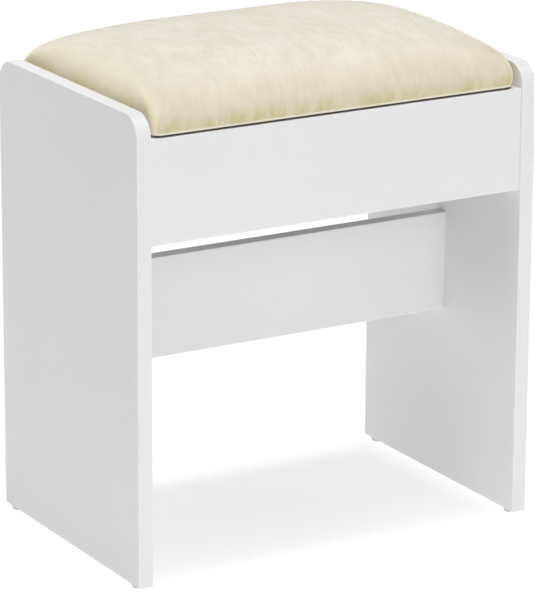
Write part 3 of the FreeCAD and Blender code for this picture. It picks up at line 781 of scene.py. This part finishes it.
@dataclass
class SeatPad:
    """The upholstered seat: a crowned foam form in plush, its hem turned under a board.

    Its crown is a superellipse around a wide flat ridge. Its rounded lip ends just over the
    aprons, above a strip painted dark as the shadow of the gap, and the hem runs in from there
    under the board.
    """

    edge_height: float = 11.5 * MM
    draw_in: float = 5.2 * MM
    corner_radius: float = 12 * MM
    corner_growth: float = 2.1
    corner_limit: float = 0.97
    ridge_length: float = 226 * MM
    ridge_width: float = 73 * MM
    crown_power: float = 2.2
    crown_under: float = 1.8 * MM
    ridge_cells: tuple[int, int] = (56, 18)
    rings: int = 34
    start_under: float = 1.2 * MM
    swell_limit: float = 1.7 * MM
    swell_evening: int = 8
    frames: int = 20
    pressure: float = 4.0
    lip_gap: float = 2.3 * MM
    lip_turns: tuple[float, ...] = (16, 32, 47, 61, 74, 84)
    wall_inset: float = 0.4 * MM
    wall_lean: float = 0.1 * MM
    hem_round: float = 0.3 * MM
    hem_turn: float = 1 * MM
    hem_width: float = 32 * MM
    hem_shares: tuple[float, ...] = (0.15, 0.4, 0.7, 1.0)
    hem_hold: float = 0.1 * MM
    board_play: float = 0.15 * MM
    least_radius: float = 2 * MM
    pucker_depth: float = 0.9 * MM
    pucker_start: float = 3 * MM
    pucker_reach: float = 17 * MM
    pucker_width: float = 9 * MM
    pucker_height: float = 42 * MM
    dent_depth: float = 0.9 * MM
    dent_sizes: tuple[float, float] = (46 * MM, 19 * MM)
    dent_shares: tuple[float, float] = (0.5, 0.2)
    curve_points: int = 721
    fill: float = 0.75
    finish: Finish = CrushedPlush()

    def __post_init__(self) -> None:
        """Takes the pad's outer sizes from the frame, and counts its grid's cells."""
        low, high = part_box("seat_cover")
        self.half_x = (high.x - low.x) / 2
        self.half_y = (high.y - low.y) / 2
        self.foot = low.z
        self.height = high.z - low.z - self.crown_under
        self.cells = tuple(cells + 2 * self.rings for cells in self.ridge_cells)

    def outline(self, turn_u: np.ndarray, turn_v: np.ndarray, half_x: np.ndarray,
                half_y: np.ndarray, radius: np.ndarray) -> tuple[np.ndarray, np.ndarray]:
        """Points on a rounded rectangle for points on the edge of a square of half side 1.

        Args:
            turn_u: First coordinate on the square's edge.
            turn_v: Second coordinate on the square's edge.
            half_x: Half the rectangle's length.
            half_y: Half its width.
            radius: Its corner radius.

        Returns:
            The points' x and y.
        """
        on_long = np.abs(turn_v) >= np.abs(turn_u)
        share = np.where(on_long, np.abs(turn_u), np.abs(turn_v))
        half = np.where(on_long, half_x, half_y)
        other = np.where(on_long, half_y, half_x)
        walked = share * (half - radius + radius * math.pi / 4)
        straight = half - radius
        angle = np.clip((walked - straight) / np.maximum(radius, TINY), 0, None)
        along = np.where(walked <= straight, walked, straight + radius * np.sin(angle))
        out = np.where(walked <= straight, other, other - radius + radius * np.cos(angle))
        x = np.where(on_long, along, out) * np.where(turn_u < 0, -1, 1)
        y = np.where(on_long, out, along) * np.where(turn_v < 0, -1, 1)
        return x, y

    def crown(self, down: np.ndarray, shrink: float) -> tuple[np.ndarray, np.ndarray]:
        """How far in and how high the crown is, a share of the way down from its ridge.

        Args:
            down: 0 at the ridge and 1 at the widest edge, even along the curve.
            shrink: How much lower than its full height the crown is.

        Returns:
            The inward share, 0 to 1, and the height over the widest edge.
        """
        angles = np.linspace(math.pi / 2, 0, self.curve_points)
        inward = 1 - np.clip(np.cos(angles), 0, 1) ** (2 / self.crown_power)
        rise = self.height - self.edge_height - shrink
        upward = np.sin(angles) ** (2 / self.crown_power) * rise
        reach = self.half_y - self.ridge_width / 2
        steps = np.hypot(np.diff(inward) * reach, np.diff(upward))
        walked = np.concatenate([[0], np.cumsum(steps)])
        place = np.asarray(down) * walked[-1]
        return np.interp(place, walked, inward), np.interp(place, walked, upward)

    def shape_crown(self, mesh: bpy.types.Mesh, shrink: float) -> None:
        """Moves a flat grid's vertices onto the crown.

        Args:
            mesh: A grid with coordinates from -1 to 1.
            shrink: How far inside the full form it is laid.
        """
        flat = places(mesh)
        step_u = flat[:, 0] * self.cells[0] / 2
        step_v = flat[:, 1] * self.cells[1] / 2
        ridge_u, ridge_v = self.ridge_cells[0] / 2, self.ridge_cells[1] / 2
        ring = np.maximum(np.maximum(np.abs(step_u) - ridge_u, np.abs(step_v) - ridge_v), 0)
        down = ring / self.rings
        inward, upward = self.crown(down, shrink)
        half_x = self.half_x - shrink - (self.half_x - shrink - self.ridge_length / 2) * inward
        half_y = self.half_y - shrink - (self.half_y - shrink - self.ridge_width / 2) * inward
        radius = self.corner_radius - shrink + self.corner_growth * (self.half_y - shrink - half_y)
        radius = np.minimum(radius, self.corner_limit * np.minimum(half_x, half_y))
        share_u = step_u / (ridge_u + ring)
        share_v = step_v / (ridge_v + ring)
        inner = np.maximum(np.maximum(np.abs(share_u), np.abs(share_v)), TINY)
        x, y = self.outline(share_u / inner, share_v / inner, half_x, half_y, radius)
        z = self.foot + self.edge_height + upward
        set_places(mesh, np.stack([x * inner, y * inner, z], axis=1))

    def lip_steps(self) -> list[tuple[float, float]]:
        """The rings of the lip, the wall and the hem.

        Returns:
            Pairs of an inset from the widest edge and a height over the pad's foot.
        """
        fall = self.edge_height - self.lip_gap
        turns = [math.radians(turn) for turn in self.lip_turns]
        steps = [(self.draw_in * (1 - math.cos(turn)), self.edge_height - fall * math.sin(turn))
                 for turn in turns]
        wall = self.draw_in + self.wall_inset
        hem = wall + self.hem_turn
        steps += [(wall, self.lip_gap - self.wall_lean), (wall + self.wall_lean, self.lip_gap / 2),
                  (wall + 2 * self.wall_lean, self.hem_round), (hem, 0.0)]
        steps += [(hem + (self.hem_width - hem) * share, 0.0) for share in self.hem_shares]
        return steps

    def ring_radius(self, half_x: float) -> float:
        """The corner radius of a level ring under the pad's widest edge."""
        return max(self.corner_radius - self.half_x + half_x, self.least_radius)

    def grow_border(self, net: bmesh.types.BMesh,
                    rings: Iterable[tuple[float, float, float]]) -> None:
        """Extrudes the net's open border through level rings, each a rounded rectangle.

        Args:
            net: The net, open underneath.
            rings: For each ring its half length, half width and height.
        """
        border = [edge for edge in net.edges if edge.is_boundary]
        open_verts = [vert for edge in border for vert in edge.verts]
        reach = [max(abs(vert.co[axis]) for vert in open_verts) for axis in (0, 1)]
        radius = self.ring_radius(reach[0])
        turns = {vert: self.square_place(vert.co, *reach, radius) for vert in open_verts}
        for half_x, half_y, height in rings:
            made = bmesh.ops.extrude_edge_only(net, edges=border)["geom"]
            fresh = {item for item in made if isinstance(item, bmesh.types.BMVert)}
            border = [item for item in made if isinstance(item, bmesh.types.BMEdge)
                      and item.verts[0] in fresh and item.verts[1] in fresh]
            after = {}
            for vert in fresh:
                source = next(near for near in (edge.other_vert(vert) for edge in vert.link_edges)
                              if near in turns)
                after[vert] = turns[source]
                x, y = self.outline(np.array(turns[source][0]), np.array(turns[source][1]),
                                    half_x, half_y, self.ring_radius(half_x))
                vert.co = (float(x), float(y), height)
            turns = after

    def close_under(self, mesh: bpy.types.Mesh, shrink: float) -> None:
        """Turns the border of the crown down and in under the board, and closes it.

        Args:
            mesh: The shaped crown.
            shrink: How far inside the full form the crown is. The lip evens it out.
        """
        net = opened(mesh)
        rings = []
        for inset, height in self.lip_steps():
            pulled = max(inset, shrink + inset * (1 - shrink / self.draw_in))
            rings.append((self.half_x - pulled, self.half_y - pulled, self.foot + height))
        self.grow_border(net, rings)
        close_border(net)
        written(net, mesh)

    def open_under(self, mesh: bpy.types.Mesh) -> None:
        """Takes out the one large face that closed the hem's window.

        Args:
            mesh: The closed pad.
        """
        net = opened(mesh)
        window = max(net.faces, key=lambda face: len(face.verts))
        bmesh.ops.delete(net, geom=[window], context="FACES_ONLY")
        written(net, mesh)

    def square_place(self, point: Vector, half_x: float, half_y: float,
                     radius: float) -> tuple[float, float]:
        """Where a point of a rounded rectangle is on the edge of a square of half side 1.

        Args:
            point: A point of the rectangle.
            half_x: Half the rectangle's length.
            half_y: Half its width.
            radius: Its corner radius.

        Returns:
            The point's two coordinates on the square.
        """
        arc = radius * math.pi / 4
        x, y = abs(point.x), abs(point.y)
        over_x, over_y = x - (half_x - radius), y - (half_y - radius)
        place = (min(x / (half_x - radius + arc), 1.0), 1.0)
        if over_x > 0 and over_y > 0:
            angle = math.atan2(over_x, over_y)
            if angle <= math.pi / 4:
                place = ((half_x - radius + radius * angle) / (half_x - radius + arc), 1.0)
            else:
                walked = half_y - radius + radius * (math.pi / 2 - angle)
                place = (1.0, walked / (half_y - radius + arc))
        elif over_x > over_y:
            place = (1.0, min(y / (half_y - radius + arc), 1.0))
        return math.copysign(place[0], point.x), math.copysign(place[1], point.y)

    def swell(self, piece: bpy.types.Object) -> None:
        """Blows the plush up over the foam with a cloth simulation, within a limit.

        Args:
            piece: The closed pad, a little under its size.
        """
        before = places(piece.data)
        held = piece.vertex_groups.new(name="hem")
        hem = np.flatnonzero(before[:, 2] < self.foot + self.lip_gap + self.hem_hold)
        held.add(hem.tolist(), 1.0, "REPLACE")
        activate(piece)
        cloth = piece.modifiers.new("plush", "CLOTH")
        settings = cloth.settings
        settings.quality = 6
        settings.mass = 0.35
        settings.tension_stiffness = 14
        settings.compression_stiffness = 6
        settings.shear_stiffness = 4
        settings.bending_stiffness = 0.35
        settings.shrink_min = -0.012
        settings.use_pressure = True
        settings.uniform_pressure_force = self.pressure
        settings.vertex_group_mass = held.name
        settings.effector_weights.gravity = 0
        cloth.collision_settings.use_collision = False
        cloth.point_cache.frame_start = 1
        cloth.point_cache.frame_end = self.frames
        for number in range(1, self.frames + 1):
            bpy.context.scene.frame_set(number)
        bpy.ops.object.modifier_apply(modifier=cloth.name)
        bpy.context.scene.frame_set(1)
        moved = places(piece.data) - before
        reach = np.linalg.norm(moved, axis=1, keepdims=True)
        kept = np.tanh(reach / self.swell_limit) * self.swell_limit / np.maximum(reach, TINY)
        capped = self.evened(piece.data, moved * np.where(reach > 0, kept, 0))
        set_places(piece.data, before + capped)
        piece.vertex_groups.clear()
        log.info("plush swelled by up to %.1f mm, kept %.1f mm", reach.max() / MM,
                 np.linalg.norm(capped, axis=1).max() / MM)

    def evened(self, mesh: bpy.types.Mesh, moved: np.ndarray) -> np.ndarray:
        """Spreads the swelling over neighbouring vertices, so that it leaves no crease.

        Args:
            mesh: The pad's mesh.
            moved: How far each vertex was moved.

        Returns:
            The evened moves, with the held hem still at rest.
        """
        ends = np.empty(len(mesh.edges) * 2, dtype=np.int64)
        mesh.edges.foreach_get("vertices", ends)
        ends = ends.reshape(-1, 2)
        still = np.linalg.norm(moved, axis=1) < STILL
        count = np.bincount(ends.ravel(), minlength=len(moved))[:, None]
        for _ in range(self.swell_evening):
            around = np.zeros_like(moved)
            np.add.at(around, ends[:, 0], moved[ends[:, 1]])
            np.add.at(around, ends[:, 1], moved[ends[:, 0]])
            moved = np.where(still[:, None], 0, (moved + around) / (1 + count))
        return moved

    def pucker(self, mesh: bpy.types.Mesh) -> None:
        """Draws the plush into short upright folds over the hem, and dents the crown a little.

        Args:
            mesh: The pad's mesh.
        """
        points, outward = places(mesh), normals(mesh)
        moved = points.copy()
        for index, (x, y, z) in enumerate(points):
            over = z - self.foot
            if over < self.lip_gap:
                continue
            fade = over / self.pucker_start
            if over > self.pucker_start:
                fade = math.exp(-((over - self.pucker_start) / self.pucker_reach) ** 2)
            walk = Vector((x / self.pucker_width, y / self.pucker_width, over / self.pucker_height))
            fold = noise.noise(walk) * 0.6 + noise.noise(walk * 2.3 + Vector((5, 1, 2))) * 0.4
            dent = sum(noise.noise(Vector((x, y, z)) / size) * share
                       for size, share in zip(self.dent_sizes, self.dent_shares))
            raised = fold * self.pucker_depth * fade + dent * self.dent_depth * (1 - 0.5 * fade)
            moved[index] += outward[index] * raised
        set_places(mesh, moved)

    def sink_board(self, mesh: bpy.types.Mesh) -> None:
        """Hollows the pad above its hem for the seat board, from the hem's window.

        Args:
            mesh: The pad, open underneath.
        """
        low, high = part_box("seat_board")
        reach_x, reach_y = high.x + self.board_play, high.y + self.board_play
        under, over = low.z - self.board_play, high.z + self.board_play
        net = opened(mesh)
        self.grow_border(net, [(self.half_x - self.hem_width, self.half_y - self.hem_width, under),
                               (reach_x, reach_y, under), (reach_x, reach_y, over)])
        close_border(net)
        written(net, mesh)

    def build(self) -> bpy.types.Object:
        """Makes the pad and puts it in place of the frame's cover and foam.

        Returns:
            The pad.
        """
        shrink = self.start_under
        deselect_all()
        bpy.ops.mesh.primitive_grid_add(x_subdivisions=self.cells[0],
                                        y_subdivisions=self.cells[1], size=2)
        piece = bpy.context.object
        piece.name = piece.data.name = "seat_pad"
        self.shape_crown(piece.data, shrink)
        self.close_under(piece.data, shrink)
        self.swell(piece)
        self.open_under(piece.data)
        activate(piece)
        finer = piece.modifiers.new("finer", "SUBSURF")
        finer.levels = finer.render_levels = 1
        bpy.ops.object.modifier_apply(modifier=finer.name)
        self.pucker(piece.data)
        self.sink_board(piece.data)
        bpy.ops.object.shade_smooth()
        self.finish.dress(piece)
        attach(piece, ROOT)
        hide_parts("seat_cover", "seat_foam")
        log.info("%s: %d faces", piece.name, len(piece.data.polygons))
        return piece


@dataclass
class DustCover:
    """The black cloth stapled under the pad, taut between its staples."""

    columns: int = 120
    rows: int = 78
    sag: float = 0.5 * MM
    taut_border: float = 30 * MM
    slack_border: float = 80 * MM
    wave_size: float = 35 * MM
    wave_share: float = 0.6
    smooth_under: float = 40.0
    finish: Finish = SpunCloth()

    def build(self) -> bpy.types.Object:
        """Makes the cloth in place of the frame's flat one.

        Returns:
            The cloth.
        """
        low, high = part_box("dust_cover")
        width, length, thick = high - low
        deselect_all()
        bpy.ops.mesh.primitive_grid_add(x_subdivisions=self.columns, y_subdivisions=self.rows,
                                        size=1, location=(0, 0, low.z + thick / 2))
        piece = bpy.context.object
        piece.name = piece.data.name = "dust_cloth"
        piece.scale = (width, length, 1)
        bpy.ops.object.transform_apply(location=True, rotation=True, scale=True)
        points = places(piece.data)
        inward = np.minimum(width / 2 - np.abs(points[:, 0]), length / 2 - np.abs(points[:, 1]))
        middle = smoothstep(self.taut_border, self.slack_border, inward)
        waves = np.array([noise.noise(Vector(point) / self.wave_size) for point in points])
        points[:, 2] -= self.sag * middle * (1 + self.wave_share * waves)
        set_places(piece.data, points)
        solid = piece.modifiers.new("thickness", "SOLIDIFY")
        solid.thickness = thick
        solid.offset = 0
        bpy.ops.object.modifier_apply(modifier=solid.name)
        bpy.ops.object.shade_smooth_by_angle(angle=math.radians(self.smooth_under))
        self.finish.dress(piece)
        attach(piece, ROOT)
        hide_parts("dust_cover")
        log.info("%s: %d faces", piece.name, len(piece.data.polygons))
        return piece


@dataclass
class Carcass:
    """The boards, with the fittings that join them and the glides that they stand on."""

    boards: tuple[str, ...] = ("left_side_panel", "right_side_panel", "front_apron", "rear_apron",
                               "stretcher")
    paint: Finish = SatinPaint()
    board: Finish = Plywood()
    dowel: Finish = Beech()
    casting: Finish = CastZinc()
    steel: Finish = PlatedSteel()
    plastic: Finish = MouldedPlastic()

    def finish_of(self, name: str) -> Finish:
        """The finish of a node, by what its name says it is.

        Args:
            name: The node's name.

        Returns:
            Its finish.
        """
        kinds = {"dowels": self.dowel, "cam_locks": self.casting, "glide": self.plastic,
                 "seat_board": self.board}
        if name in self.boards:
            return self.paint
        for ending, finish in kinds.items():
            if name.endswith(ending):
                return finish
        return self.steel

    def build(self) -> None:
        """Gives every node of the frame that stays its finish."""
        for name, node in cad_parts.items():
            if node.hide_render:
                continue
            finish = self.finish_of(name)
            finish.dress(node)
            log.info("%s: %s", name, type(finish).__name__)


@dataclass
class Viewpoint:
    """The camera of the photograph, without a shift."""

    place: tuple[float, float, float] = (-1.7842, -3.0163, 1.2779)
    yaw: float = 30.622
    pitch: float = 16.867
    roll: float = 0.30
    lens: float = 227.2
    sensor: float = 36.0
    clips: tuple[float, float] = (0.05, 60.0)

    def build(self) -> bpy.types.Object:
        """Makes the camera and hands it to the scene.

        Returns:
            The camera.
        """
        yaw, pitch, roll = (math.radians(angle) for angle in (self.yaw, self.pitch, self.roll))
        ahead = Vector((math.sin(yaw) * math.cos(pitch), math.cos(yaw) * math.cos(pitch),
                        -math.sin(pitch)))
        level = Vector((math.cos(yaw), -math.sin(yaw), 0))
        upright = level.cross(ahead)
        right = level * math.cos(roll) + upright * math.sin(roll)
        upward = upright * math.cos(roll) - level * math.sin(roll)
        data = bpy.data.cameras.new("viewpoint")
        data.lens = self.lens
        data.sensor_width = self.sensor
        data.clip_start, data.clip_end = self.clips
        camera = bpy.data.objects.new("viewpoint", data)
        bpy.context.scene.collection.objects.link(camera)
        turn = Matrix((right, upward, -ahead)).transposed()
        camera.matrix_world = Matrix.Translation(self.place) @ turn.to_4x4()
        bpy.context.scene.camera = camera
        return camera


@dataclass
class Lamp:
    """A square softbox that looks at the stool."""

    name: str
    towards: tuple[float, float, float]
    level: float
    distance: float = 4.0
    width: float = 2.4
    aim: tuple[float, float, float] = (0, 0, 0.25)

    def build(self) -> bpy.types.Object:
        """Hangs the softbox.

        Its level is how bright it alone would make a white surface that faces it.

        Returns:
            The lamp.
        """
        data = bpy.data.lights.new(self.name, "AREA")
        data.shape = "SQUARE"
        data.size = self.width
        data.energy = self.level * (math.pi * self.distance) ** 2
        lamp = bpy.data.objects.new(self.name, data)
        bpy.context.scene.collection.objects.link(lamp)
        towards = Vector(self.towards).normalized()
        lamp.location = Vector(self.aim) + towards * self.distance
        lamp.rotation_euler = towards.to_track_quat("Z", "Y").to_euler()
        return lamp


@dataclass
class Studio:
    """The white floor, the even white room and the softboxes."""

    ambient: float = 0.11
    floor_size: float = 14.0
    floor_tone: Colour = srgb(238, 238, 238)
    floor_glow: float = 0.68
    floor_bounce: float = 0.52
    floor_white: float = 1.05
    shadow_fade: float = 0.05
    shadow_spill: float = 0.01
    lamps: tuple[Lamp, ...] = (
        Lamp("front_softbox", (-0.1, -1.0, 0.3), 0.25),
        Lamp("overhead_softbox", (0.0, -0.1, 1.0), 0.72),
        Lamp("rear_softbox", (-0.05, 1.0, 0.24), 0.36),
        Lamp("left_softbox", (-1.0, 0.15, 0.9), 0.04),
    )

    def build_room(self) -> None:
        """A room that lights evenly, and is plain white to the camera and in reflections."""
        world = bpy.data.worlds.new("room")
        world.use_nodes = True
        bpy.context.scene.world = world
        graph = Graph(world.node_tree)
        seen = graph.rays("Is Camera Ray", "Is Glossy Ray", "Is Transmission Ray")
        strength = self.ambient + seen * (1 - self.ambient)
        shader = graph.node("ShaderNodeBackground", None, {"Color": WHITE, "Strength": strength})
        graph.node("ShaderNodeOutputWorld", None, {"Surface": shader.outputs[0]})

    def build_floor(self) -> bpy.types.Object:
        """A floor that keeps a faint shadow and is otherwise white, and can't be seen from below.

        Returns:
            The floor.
        """
        deselect_all()
        bpy.ops.mesh.primitive_plane_add(size=self.floor_size)
        floor = bpy.context.object
        floor.name = floor.data.name = "studio_floor"
        made = bpy.data.materials.new("floor_white")
        made.use_nodes = True
        graph = Graph(made.node_tree)
        camera_ray = graph.rays("Is Camera Ray")
        seen = graph.rays("Is Camera Ray", "Is Glossy Ray")
        across, along, _ = (abs(part) for part in graph.parts(graph.coordinates()))
        beyond = graph.maths("MAXIMUM", across - CAD_BOX[1][0], along - CAD_BOX[1][1])
        far = beyond.eased(-self.shadow_fade, self.shadow_spill)
        glowing = seen * (far * (1 - self.floor_glow) + self.floor_glow)
        matt = graph.node("ShaderNodeBsdfDiffuse", None, {"Color": self.floor_tone})
        glow = graph.node("ShaderNodeEmission", None,
                          {"Color": WHITE, "Strength": self.floor_white})
        bounce = graph.node("ShaderNodeEmission", None,
                            {"Strength": (1 - seen) * self.floor_bounce})
        lifted = graph.node("ShaderNodeAddShader", None, {0: matt.outputs[0], 1: bounce.outputs[0]})
        lit = graph.node("ShaderNodeMixShader", None,
                         {0: glowing, 1: lifted.outputs[0], 2: glow.outputs[0]})
        clear = graph.node("ShaderNodeBsdfTransparent")
        behind = Shade(graph, graph.node("ShaderNodeNewGeometry").outputs["Backfacing"])
        surface = graph.node("ShaderNodeMixShader", None,
                             {0: behind * camera_ray, 1: lit.outputs[0], 2: clear.outputs[0]})
        graph.node("ShaderNodeOutputMaterial", None, {"Surface": surface.outputs[0]})
        floor.data.materials.append(made)
        return floor

    def build(self) -> None:
        """Sets the room, the floor and the softboxes up."""
        self.build_room()
        self.build_floor()
        for lamp in self.lamps:
            lamp.build()
        bpy.context.scene.view_settings.view_transform = "Standard"


def main() -> None:
    """Builds the stool and its studio, one sub-assembly after another."""
    logging.basicConfig(level=logging.INFO, format="%(message)s")
    Viewpoint().build()
    Studio().build()
    SeatPad().build()
    DustCover().build()
    Carcass().build()


if __name__ == "__main__":
    main()
